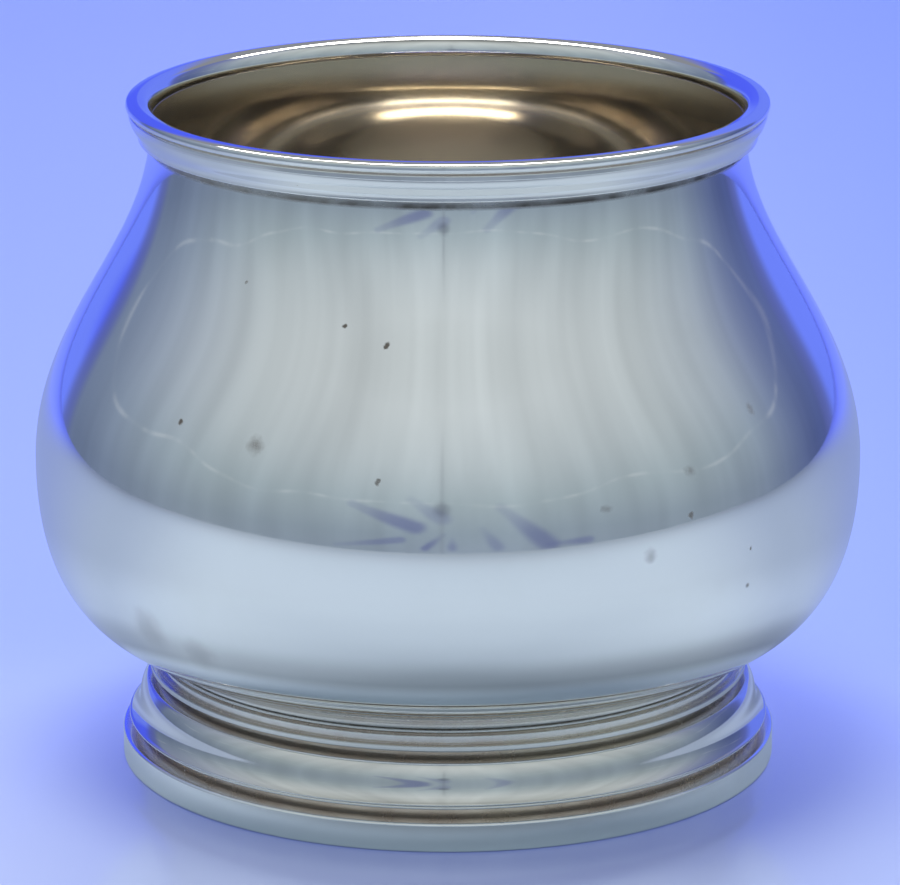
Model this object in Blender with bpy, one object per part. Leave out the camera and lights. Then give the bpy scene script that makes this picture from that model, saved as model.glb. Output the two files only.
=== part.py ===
"""Footed silver waste bowl: a spun body, an applied rim moulding and a foot made of three rings.

Lengths are in metres and +Z is up. The origin is on the table, on the axis of the bowl.
Every piece is turned about that axis from an outline of (radius, height) points, with its own zero at its bottom.
"""

import math

import bpy
from mathutils import Vector
from mathutils.geometry import interpolate_bezier

MM = 0.001

# Turned surfaces and the solder line that is left between two pieces
TURN_STEPS = 60
AXIS_MERGE = 0.00005
SOLDER_GAP = 0.3 * MM

# Bowl body: its outline is two flowing curves that meet upright at the belly; its top edge is bevelled inside
SHELL_WALL = 1.0 * MM
BELLY_RADIUS = 54.0 * MM
BELLY_HEIGHT = 25.2 * MM
NECK_RADIUS = 38.5 * MM
SHOULDER_HEIGHT = 44.0 * MM
NECK_HEIGHT = 1.1 * MM
BOTTOM_RADIUS = 31.0 * MM
UPPER_BELLY_FULLNESS = 18.2 * MM
NECK_FULLNESS = 15.9 * MM
LOWER_BELLY_FULLNESS = 18.7 * MM
BOTTOM_FULLNESS = 14.4 * MM
EDGE_BEVEL_DROP = 0.9 * MM
SHOULDER_STEPS = 12
UNDERSIDE_STEPS = 11

# Rim moulding: it covers part of the body's edge, rolls out into a lip and goes down over a crease, a fillet and an
# ovolo that tucks into the neck
RIM_OVERLAP = 0.3 * MM
LIP_PROJECTION = 3.05 * MM
LIP_WIDTH = 2.45 * MM
LIP_HALF_HEIGHT = 0.8 * MM
LIP_RISE = 2.45 * MM
LIP_STEPS = 4
LIP_UNDERCUT_DEG = 45.0
MOUTH_UPRIGHT = 1.0 * MM
ROLL_STEPS = 5
CREASE_DEPTH = 0.3 * MM
CREASE_DROP = 0.15 * MM
RIM_FILLET_HEIGHT = 0.6 * MM
RIM_FILLET_STEP = 0.15 * MM
RIM_SKIRT = 3.0 * MM
SKIRT_PROJECTION = 1.5 * MM
SKIRT_EDGE = 0.45 * MM
SKIRT_TUCK = 0.3 * MM
OVOLO_STEPS = 4

# Foot collar: plain wall, square fillet, flat band, bead and neck, from its bottom up
COLLAR_RADIUS = 38.4 * MM
COLLAR_THICKNESS = 2.4 * MM
COLLAR_WALL_HEIGHT = 1.1 * MM
FILLET_HEIGHT = 0.67 * MM
FILLET_PROJECTION = 1.05 * MM
BAND_HEIGHT = 1.1 * MM
BAND_PROJECTION = 0.15 * MM
GROOVE_WIDTH = 0.3 * MM
GROOVE_DEPTH = 0.35 * MM
BEAD_HEIGHT = 0.55 * MM
BEAD_PROJECTION = 0.2 * MM
BEAD_STEPS = 4
COLLAR_NECK_HEIGHT = 0.65 * MM
SEAT_STEPS = 2

# Foot ogee: a ledge under the collar, an S-shaped wall that is full above and hollow below, a thin flange and a
# short upright necking
OGEE_WALL = 1.2 * MM
OGEE_HEIGHT = 6.6 * MM
TOP_LEDGE = 1.5 * MM
TOP_LEDGE_BEVEL = 0.2 * MM
OGEE_TOP_OUT = 1.35 * MM
OGEE_TOP_DROP = 1.9 * MM
OGEE_HOLLOW_IN = 1.75 * MM
OGEE_HOLLOW_RISE = 1.75 * MM
OGEE_STEPS = 7
FLANGE_OVERHANG = 1.05 * MM
FLANGE_THICKNESS = 0.4 * MM
FLANGE_NOSE = 0.2 * MM
NECKING_HEIGHT = 1.25 * MM

# Base rim: the ring that stands on the table
BASE_RADIUS = 43.1 * MM
BASE_HEIGHT = 3.8 * MM
BASE_WIDTH = 3.5 * MM
BASE_LEDGE = 2.1 * MM
BASE_EDGE_ROUND = 0.35 * MM
EDGE_STEPS = 3

# Finishes: (red, green, blue), roughness
BODY_SILVER = ((0.80, 0.81, 0.82), 0.14)
RIM_SILVER = ((0.82, 0.83, 0.84), 0.12)
COLLAR_SILVER = ((0.76, 0.76, 0.75), 0.18)
OGEE_SILVER = ((0.79, 0.80, 0.80), 0.16)
BASE_SILVER = ((0.78, 0.79, 0.81), 0.16)


def curve(start, start_handle, end_handle, end, steps):
    """Points of one cubic curve, with both of its ends."""
    knots = [Vector((point[0], point[1], 0.0)) for point in (start, start_handle, end_handle, end)]
    return [(point.x, point.y) for point in interpolate_bezier(*knots, steps + 1)]


def arc(centre, radius_across, radius_up, from_deg, to_deg, steps):
    """Points of an elliptical arc, with both of its ends."""
    points = []
    for step in range(steps + 1):
        angle = math.radians(from_deg + (to_deg - from_deg) * step / steps)
        points.append((centre[0] + radius_across * math.cos(angle), centre[1] + radius_up * math.sin(angle)))
    return points


def set_in(points, wall):
    """The same line moved by a wall's thickness to its right-hand side as it runs down an outer surface."""
    moved = []
    last = len(points) - 1
    for index, point in enumerate(points):
        before = points[max(index - 1, 0)]
        after = points[min(index + 1, last)]
        along = Vector((after[0] - before[0], after[1] - before[1])).normalized()
        moved.append((point[0] + along.y * wall, point[1] - along.x * wall))
    return moved


def at_value(points, known, wanted, value):
    """Reads one coordinate of a line where its other coordinate has a value that runs one way along the line."""
    ordered = sorted(points, key=lambda point: point[known])
    for low, high in zip(ordered, ordered[1:]):
        if low[known] <= value <= high[known]:
            share = (value - low[known]) / (high[known] - low[known])
            return low[wanted] + share * (high[wanted] - low[wanted])
    return ordered[0][wanted] if value < ordered[0][known] else ordered[-1][wanted]


def between_heights(points, lowest, highest):
    """The stretch of a falling line between two heights, with an end on each of them."""
    stretch = [point for point in points if lowest < point[1] < highest]
    ends = [(at_value(points, 1, 0, height), height) for height in (highest, lowest)]
    return ends[:1] + stretch + ends[1:]


def shoulder_curve():
    """The outer surface from the neck down to the belly."""
    neck = BELLY_HEIGHT + SHOULDER_HEIGHT
    return curve(
        (NECK_RADIUS, neck),
        (NECK_RADIUS, neck - NECK_FULLNESS),
        (BELLY_RADIUS, BELLY_HEIGHT + UPPER_BELLY_FULLNESS),
        (BELLY_RADIUS, BELLY_HEIGHT),
        SHOULDER_STEPS,
    )


def underside_curve():
    """The outer surface from the belly down to the flat bottom."""
    return curve(
        (BELLY_RADIUS, BELLY_HEIGHT),
        (BELLY_RADIUS, BELLY_HEIGHT - LOWER_BELLY_FULLNESS),
        (BOTTOM_RADIUS + BOTTOM_FULLNESS, 0.0),
        (BOTTOM_RADIUS, 0.0),
        UNDERSIDE_STEPS,
    )


def underside_height(radius):
    """Height of the body's outer surface at a radius under the belly."""
    return at_value(underside_curve(), 0, 1, radius)


def shell_edge_height():
    """Height of the body's top edge, where the rim moulding sits."""
    return BELLY_HEIGHT + SHOULDER_HEIGHT + NECK_HEIGHT


def mouth_radius():
    """Radius of the mouth at the solder line, where the rim moulding meets the body's bevelled edge."""
    return NECK_RADIUS - RIM_OVERLAP


def bowl_outline():
    """Open outline of the body, from the axis up the inside, over the edge and down the outside to the axis."""
    edge = shell_edge_height()
    outside = [(NECK_RADIUS, edge)] + shoulder_curve() + underside_curve()[1:]
    bevel = [(mouth_radius(), edge), (NECK_RADIUS - SHELL_WALL, edge - EDGE_BEVEL_DROP)]
    inside = bevel + set_in(outside, SHELL_WALL)[1:]
    return [(0.0, SHELL_WALL)] + inside[::-1] + outside + [(0.0, 0.0)]


def rim_outline():
    """Closed outline of the rim moulding, from the mouth over the lip and down; its zero is the body's edge."""
    skirt_line = shell_edge_height() - RIM_SKIRT
    bore = at_value(shoulder_curve(), 1, 0, skirt_line) + SOLDER_GAP
    lip_half_width = LIP_WIDTH / 2
    lip_centre = (NECK_RADIUS + LIP_PROJECTION - lip_half_width, LIP_RISE - LIP_HALF_HEIGHT)
    roll = curve(
        (mouth_radius(), SOLDER_GAP),
        (mouth_radius(), SOLDER_GAP + MOUTH_UPRIGHT),
        (lip_centre[0] - lip_half_width, LIP_RISE),
        (lip_centre[0], LIP_RISE),
        ROLL_STEPS,
    )
    lip = arc(lip_centre, lip_half_width, LIP_HALF_HEIGHT, 90.0, -LIP_UNDERCUT_DEG, LIP_STEPS)
    lip_end = lip[-1]
    crease = (lip_end[0] - CREASE_DEPTH, lip_end[1] - CREASE_DROP)
    fillet_top = (lip_end[0], crease[1] - CREASE_DROP)
    fillet_bottom = (fillet_top[0], fillet_top[1] - RIM_FILLET_HEIGHT)
    ovolo_top = (fillet_bottom[0] - RIM_FILLET_STEP, fillet_bottom[1])
    skirt_edge = (NECK_RADIUS + SKIRT_PROJECTION, SKIRT_EDGE + SKIRT_TUCK - RIM_SKIRT)
    ovolo_drop = (ovolo_top[1] - skirt_edge[1]) / 2
    ovolo = curve(
        ovolo_top,
        (ovolo_top[0], ovolo_top[1] - ovolo_drop),
        (skirt_edge[0], skirt_edge[1] + ovolo_drop / 2),
        skirt_edge,
        OVOLO_STEPS,
    )
    edge = [(skirt_edge[0], skirt_edge[1] - SKIRT_EDGE), (bore, -RIM_SKIRT), (bore, SOLDER_GAP)]
    return roll[:-1] + lip + [crease, fillet_top, fillet_bottom] + ovolo + edge


def collar_groove_radius():
    """Radius of the collar's grooves and of its neck."""
    return COLLAR_RADIUS - GROOVE_DEPTH


def collar_height():
    """Height of the collar's outer top edge, just under the body."""
    mouldings = COLLAR_WALL_HEIGHT + FILLET_HEIGHT + BAND_HEIGHT + BEAD_HEIGHT + 2 * GROOVE_WIDTH
    return mouldings + COLLAR_NECK_HEIGHT


def collar_outline():
    """Closed outline of the collar, whose top follows the body's underside."""
    inner = COLLAR_RADIUS - COLLAR_THICKNESS
    groove = collar_groove_radius()
    seat = []
    for step in range(SEAT_STEPS + 1):
        radius = inner + (groove - inner) * step / SEAT_STEPS
        seat.append((radius, collar_height() + underside_height(radius) - underside_height(groove)))
    level = COLLAR_WALL_HEIGHT
    fillet = COLLAR_RADIUS + FILLET_PROJECTION
    band = COLLAR_RADIUS + BAND_PROJECTION
    wall = [(fillet, level), (COLLAR_RADIUS, level), (COLLAR_RADIUS, 0.0), (inner, 0.0)]
    level += FILLET_HEIGHT
    step_up = [(band, level), (fillet, level)]
    level += BAND_HEIGHT
    band_top = [(groove, level), (band, level)]
    level += GROOVE_WIDTH + BEAD_HEIGHT / 2
    bead = arc((groove, level), GROOVE_DEPTH + BEAD_PROJECTION, BEAD_HEIGHT / 2, 90.0, -90.0, BEAD_STEPS)
    return seat + bead + band_top + step_up + wall


def ogee_bottom_radius():
    """Radius of the upright necking that stands on the base rim's ledge."""
    return BASE_RADIUS - BASE_LEDGE


def ogee_outline():
    """Closed outline of the ogee, from its ledge down the S-shaped wall and back up inside."""
    ledge_inner = COLLAR_RADIUS - COLLAR_THICKNESS
    top = (COLLAR_RADIUS + TOP_LEDGE, OGEE_HEIGHT - TOP_LEDGE_BEVEL)
    necking = ogee_bottom_radius()
    flange = necking + FLANGE_OVERHANG
    flange_middle = NECKING_HEIGHT + FLANGE_THICKNESS / 2
    flange_top = (flange, NECKING_HEIGHT + FLANGE_THICKNESS)
    wall = curve(
        top,
        (top[0] + OGEE_TOP_OUT, top[1] - OGEE_TOP_DROP),
        (flange - OGEE_HOLLOW_IN, flange_top[1] + OGEE_HOLLOW_RISE),
        flange_top,
        OGEE_STEPS,
    )
    flange_edge = arc((flange, flange_middle), FLANGE_NOSE, FLANGE_THICKNESS / 2, 45.0, -90.0, EDGE_STEPS)
    outside = [(top[0] - TOP_LEDGE_BEVEL, OGEE_HEIGHT)] + wall + flange_edge
    foot = [(necking, NECKING_HEIGHT), (necking, 0.0)]
    bore = necking - OGEE_WALL
    ledge_underside = OGEE_HEIGHT - OGEE_WALL
    inner_wall = between_heights(set_in(wall, OGEE_WALL), flange_top[1], ledge_underside)
    inside = [(bore, 0.0), (bore, NECKING_HEIGHT)] + inner_wall[::-1]
    ledge = [(ledge_inner, ledge_underside), (ledge_inner, OGEE_HEIGHT)]
    return outside + foot + inside + ledge


def base_outline():
    """Closed outline of the base rim, with its two outer edges rounded."""
    inner = BASE_RADIUS - BASE_WIDTH
    round_centre = BASE_RADIUS - BASE_EDGE_ROUND
    top_edge = arc(
        (round_centre, BASE_HEIGHT - BASE_EDGE_ROUND), BASE_EDGE_ROUND, BASE_EDGE_ROUND, 90.0, 0.0, EDGE_STEPS
    )
    bottom_edge = arc((round_centre, BASE_EDGE_ROUND), BASE_EDGE_ROUND, BASE_EDGE_ROUND, 0.0, -90.0, EDGE_STEPS)
    return [(inner, BASE_HEIGHT)] + top_edge + bottom_edge + [(inner, 0.0)]


def silver(name, finish):
    """A polished silver material of its own for one piece."""
    colour, roughness = finish
    material = bpy.data.materials.new(name)
    material.use_nodes = True
    shader = material.node_tree.nodes["Principled BSDF"]
    shader.inputs["Base Color"].default_value = (*colour, 1.0)
    shader.inputs["Metallic"].default_value = 1.0
    shader.inputs["Roughness"].default_value = roughness
    return material


def turned(name, outline, is_ring, bottom, finish, assembly):
    """One piece turned about the axis, placed with its bottom at a height above the table."""
    mesh = bpy.data.meshes.new(name)
    count = len(outline)
    edges = [(index, index + 1) for index in range(count - 1)]
    if is_ring:
        edges.append((count - 1, 0))
    mesh.from_pydata([(radius, 0.0, height) for radius, height in outline], edges, [])
    mesh.materials.append(silver(name + "_silver", finish))
    piece = bpy.data.objects.new(name, mesh)
    bpy.context.collection.objects.link(piece)
    piece.parent = assembly
    piece.location = (0.0, 0.0, bottom)
    turn = piece.modifiers.new("turn", "SCREW")
    turn.axis = "Z"
    turn.angle = math.tau
    turn.steps = TURN_STEPS
    turn.render_steps = TURN_STEPS
    turn.use_merge_vertices = True
    turn.merge_threshold = AXIS_MERGE
    turn.use_smooth_shade = True
    return piece


def main():
    for old in list(bpy.data.objects):
        bpy.data.objects.remove(old, do_unlink=True)
    assembly = bpy.data.objects.new("waste_bowl", None)
    bpy.context.collection.objects.link(assembly)

    ogee_bottom = BASE_HEIGHT + SOLDER_GAP
    collar_bottom = ogee_bottom + OGEE_HEIGHT + SOLDER_GAP
    seat_height = collar_bottom + collar_height() + SOLDER_GAP
    bowl_bottom = seat_height - underside_height(collar_groove_radius())

    turned("base_rim", base_outline(), True, 0.0, BASE_SILVER, assembly)
    turned("foot_ogee", ogee_outline(), True, ogee_bottom, OGEE_SILVER, assembly)
    turned("foot_collar", collar_outline(), True, collar_bottom, COLLAR_SILVER, assembly)
    turned("bowl_shell", bowl_outline(), False, bowl_bottom, BODY_SILVER, assembly)
    turned("rim_moulding", rim_outline(), True, bowl_bottom + shell_edge_height(), RIM_SILVER, assembly)


if __name__ == "__main__":
    main()
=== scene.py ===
"""Looks of a footed silver waste bowl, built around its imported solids.

Every piece is turned again at a fine resolution, on the sizes of its solid, and gets a polished, slightly worn
silver finish. The inside of the body has a warm gilt finish. Sizes of the pieces are in millimetres, places in
the studio are in metres, and +Z is up.
"""

import logging
import math
from dataclasses import dataclass
from enum import Enum
from typing import Optional, Sequence, Union

import bpy
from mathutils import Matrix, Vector, noise
from mathutils.geometry import interpolate_bezier


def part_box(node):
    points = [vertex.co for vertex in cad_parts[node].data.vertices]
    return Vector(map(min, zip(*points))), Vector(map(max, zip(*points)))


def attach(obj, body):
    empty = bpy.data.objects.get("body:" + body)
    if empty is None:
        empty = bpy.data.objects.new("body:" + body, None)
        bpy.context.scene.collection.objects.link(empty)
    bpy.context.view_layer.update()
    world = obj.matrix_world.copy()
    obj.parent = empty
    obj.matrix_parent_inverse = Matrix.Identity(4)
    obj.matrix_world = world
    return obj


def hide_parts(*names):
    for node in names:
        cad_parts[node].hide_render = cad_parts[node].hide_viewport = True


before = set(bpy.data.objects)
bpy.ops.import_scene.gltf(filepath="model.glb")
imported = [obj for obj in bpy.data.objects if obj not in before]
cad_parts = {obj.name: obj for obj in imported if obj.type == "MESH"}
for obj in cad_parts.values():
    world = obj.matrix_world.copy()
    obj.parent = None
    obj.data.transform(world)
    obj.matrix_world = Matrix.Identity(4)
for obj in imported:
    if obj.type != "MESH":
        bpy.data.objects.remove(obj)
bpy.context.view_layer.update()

LOG = logging.getLogger("waste_bowl")
BODY = "root"
MM = 0.001
LEVEL = Vector((1.0, 1.0, 0.0))
Colour = tuple[float, float, float]
Point = tuple[float, float]
Span = tuple[float, float]
Socket = bpy.types.NodeSocket
Value = Union[float, Socket]
Paint = Union[Socket, Colour]
Place = Union[Socket, Vector]


def metres(span: Span) -> Span:
    """A span in metres, from one in millimetres."""
    return span[0] * MM, span[1] * MM


class Calc(Enum):
    """Sums of numbers that a node tree works out."""

    ADD = "ADD"
    SUBTRACT = "SUBTRACT"
    MULTIPLY = "MULTIPLY"
    DIVIDE = "DIVIDE"
    ABSOLUTE = "ABSOLUTE"
    GREATER = "GREATER_THAN"
    MAXIMUM = "MAXIMUM"
    MINIMUM = "MINIMUM"
    POWER = "POWER"
    ARC_SINE = "ARCSINE"
    ARC_TANGENT = "ARCTAN2"


class VectorCalc(Enum):
    """Sums of vectors that a node tree works out."""

    ADD = "ADD"
    SUBTRACT = "SUBTRACT"
    MULTIPLY = "MULTIPLY"
    SCALE = "SCALE"
    LENGTH = "LENGTH"
    DISTANCE = "DISTANCE"
    DOT_PRODUCT = "DOT_PRODUCT"

    @property
    def gives_number(self) -> bool:
        """Whether the result is a number, and not a vector."""
        return self in (VectorCalc.LENGTH, VectorCalc.DISTANCE, VectorCalc.DOT_PRODUCT)


class Blend(Enum):
    """Ways that one colour is laid over another."""

    OVER = "MIX"
    MULTIPLY = "MULTIPLY"


@dataclass(frozen=True)
class Clouds:
    """A cloudy pattern: clouds per unit of length, finer layers, their strength, and the span that is used."""

    scale: float
    detail: float = 2.0
    roughness: float = 0.5
    span: Span = (0.0, 1.0)


class NodeBench:
    """Short ways to add and join the nodes of one tree."""

    MIX_SHARE, MIX_BELOW, MIX_ABOVE, MIX_RESULT = 0, 6, 7, 2

    def __init__(self, tree: bpy.types.NodeTree) -> None:
        """Empties the tree and keeps it.

        Args:
            tree: The node tree of a material or of the world.
        """
        self.tree = tree
        tree.nodes.clear()

    def add(self, kind: str, **settings: object) -> bpy.types.Node:
        """Adds one node.

        Args:
            kind: The node's type, without its ShaderNode prefix.
            settings: Attributes to set on it.

        Returns:
            The new node.
        """
        node = self.tree.nodes.new("ShaderNode" + kind)
        for name, value in settings.items():
            setattr(node, name, value)
        return node

    def feed(self, socket: Socket, value: Union[Value, Colour, Vector]) -> None:
        """Links a socket's value, or sets it.

        Args:
            socket: The input to feed.
            value: An output socket, a number, or a colour or vector.
        """
        if isinstance(value, bpy.types.NodeSocket):
            self.tree.links.new(value, socket)
        elif isinstance(value, (int, float)):
            socket.default_value = value
        else:
            fill = (1.0,) * (len(socket.default_value) - len(value))
            socket.default_value = (*value, *fill)

    def calc(self, sum_kind: Calc, first: Value, second: Value = 0.0, clamp: bool = False) -> Socket:
        """Works out a sum of two numbers.

        Args:
            sum_kind: What to work out.
            first: The first number.
            second: The second number.
            clamp: Whether the result stays from 0 to 1.

        Returns:
            The result's socket.
        """
        node = self.add("Math", operation=sum_kind.value, use_clamp=clamp)
        self.feed(node.inputs[0], first)
        self.feed(node.inputs[1], second)
        return node.outputs[0]

    def times(self, first: Value, second: Value) -> Socket:
        """The product of two numbers."""
        return self.calc(Calc.MULTIPLY, first, second)

    def plus(self, value: Value, share: Value, amount: Value) -> Socket:
        """A number plus a share of an amount."""
        return self.calc(Calc.ADD, value, self.times(share, amount))

    def apart(self, first: Value, second: Value) -> Socket:
        """How far two numbers lie apart."""
        return self.calc(Calc.ABSOLUTE, self.calc(Calc.SUBTRACT, first, second))

    def spread(self, value: Value, span: Span, to_low: float = 0.0, to_high: float = 1.0) -> Socket:
        """Maps a span of numbers smoothly onto another.

        Args:
            value: The number to map.
            span: Where the first span starts and ends.
            to_low: What its start becomes.
            to_high: What its end becomes.

        Returns:
            The mapped number's socket.
        """
        node = self.add("MapRange", interpolation_type="SMOOTHSTEP")
        names = ("From Min", "From Max", "To Min", "To Max")
        for name, number in zip(names, (*span, to_low, to_high)):
            node.inputs[name].default_value = number
        self.feed(node.inputs["Value"], value)
        return node.outputs["Result"]

    def turned(self, angle: Value, degrees: Span, to_low: float = 0.0, to_high: float = 1.0) -> Socket:
        """An angle in radians, with a span of degrees mapped onto another span."""
        return self.spread(angle, (math.radians(degrees[0]), math.radians(degrees[1])), to_low, to_high)

    def lay(self, share: Value, below: Paint, above: Paint, blend: Blend = Blend.OVER) -> Socket:
        """Lays one colour over another.

        Args:
            share: How much of the upper colour shows, from 0 to 1.
            below: The lower colour.
            above: The upper colour.
            blend: How they are blended.

        Returns:
            The blended colour's socket.
        """
        node = self.add("Mix", data_type="RGBA", blend_type=blend.value)
        self.feed(node.inputs[self.MIX_SHARE], share)
        self.feed(node.inputs[self.MIX_BELOW], below)
        self.feed(node.inputs[self.MIX_ABOVE], above)
        return node.outputs[self.MIX_RESULT]

    def shade(self, colour: Paint, by: Socket) -> Socket:
        """A colour multiplied by a number."""
        return self.lay(1.0, colour, by, Blend.MULTIPLY)

    def vector(self, sum_kind: VectorCalc, first: Place, second: Union[Place, Value, None] = None) -> Socket:
        """Works out a sum of vectors.

        Args:
            sum_kind: What to work out.
            first: The first vector.
            second: The second vector, or the number to scale by.

        Returns:
            The result's socket.
        """
        node = self.add("VectorMath", operation=sum_kind.value)
        self.feed(node.inputs[0], first)
        if second is not None:
            self.feed(node.inputs["Scale" if sum_kind is VectorCalc.SCALE else 1], second)
        return node.outputs["Value" if sum_kind.gives_number else "Vector"]

    def stretched(self, place: Socket, scale: Vector) -> Socket:
        """A place stretched along each axis before a pattern reads it."""
        return self.vector(VectorCalc.MULTIPLY, place, scale)

    def from_axis(self, place: Socket) -> Socket:
        """How far a place is from the Z axis."""
        return self.vector(VectorCalc.LENGTH, self.stretched(place, LEVEL))

    def parts(self, place: Socket) -> tuple[Socket, Socket, Socket]:
        """Takes a vector apart.

        Args:
            place: The vector.

        Returns:
            The sockets of its three numbers.
        """
        node = self.add("SeparateXYZ")
        self.feed(node.inputs[0], place)
        return tuple(node.outputs)

    def joined(self, *numbers: Value) -> Socket:
        """Puts a vector together.

        Args:
            numbers: Up to three numbers; the others are 0.

        Returns:
            The vector's socket.
        """
        node = self.add("CombineXYZ")
        for socket, number in zip(node.inputs, numbers):
            self.feed(socket, number)
        return node.outputs[0]

    def clouds(self, place: Socket, pattern: Clouds, output: str = "Fac") -> Socket:
        """A cloudy pattern.

        Args:
            place: Where it is read.
            pattern: Its sizes.
            output: Which output of the pattern to read, its shade or its colour.

        Returns:
            The pattern's socket, from 0 to 1.
        """
        node = self.add("TexNoise")
        self.feed(node.inputs["Vector"], place)
        node.inputs["Scale"].default_value = pattern.scale
        node.inputs["Detail"].default_value = pattern.detail
        node.inputs["Roughness"].default_value = pattern.roughness
        return node.outputs[output]

    def cloudy(self, place: Socket, pattern: Clouds, to_low: float = 0.0, to_high: float = 1.0) -> Socket:
        """A cloudy pattern, with its span mapped onto another."""
        return self.spread(self.clouds(place, pattern), pattern.span, to_low, to_high)

    def ramp(self, value: Socket, stops: Sequence[tuple[float, Colour]]) -> Socket:
        """A colour that runs through stops.

        Args:
            value: Where on the ramp to read.
            stops: Places from 0 to 1 with their colours.

        Returns:
            The colour's socket.
        """
        node = self.add("ValToRGB")
        ramp = node.color_ramp
        while len(ramp.elements) < len(stops):
            ramp.elements.new(1.0)
        for element, (place, colour) in zip(ramp.elements, stops):
            element.position = place
            element.color = (*colour, 1.0)
        self.feed(node.inputs["Fac"], value)
        return node.outputs["Color"]

    def bump(self, height: Socket, depth: float, strength: float = 1.0, normal: Optional[Socket] = None,
             sinks: bool = False) -> Socket:
        """Relief on a surface.

        Args:
            height: The relief, from 0 to 1.
            depth: How deep it is, in metres.
            strength: How much of it shows, from 0 to 1.
            normal: The normal that other relief has bent already.
            sinks: Whether the relief goes in.

        Returns:
            The bent normal's socket.
        """
        node = self.add("Bump", invert=sinks)
        node.inputs["Strength"].default_value = strength
        node.inputs["Distance"].default_value = depth
        self.feed(node.inputs["Height"], height)
        if normal is not None:
            self.feed(node.inputs["Normal"], normal)
        return node.outputs["Normal"]


class MarkKind(Enum):
    """Kinds of wear marks, with the share of their size that is fully dark."""

    PIT = 0.45
    SMUDGE = 0.05


@dataclass(frozen=True)
class Mark:
    """One wear mark, with its place and its half width in millimetres."""

    kind: MarkKind
    place: tuple[float, float, float]
    size: float
    strength: float = 1.0


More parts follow.
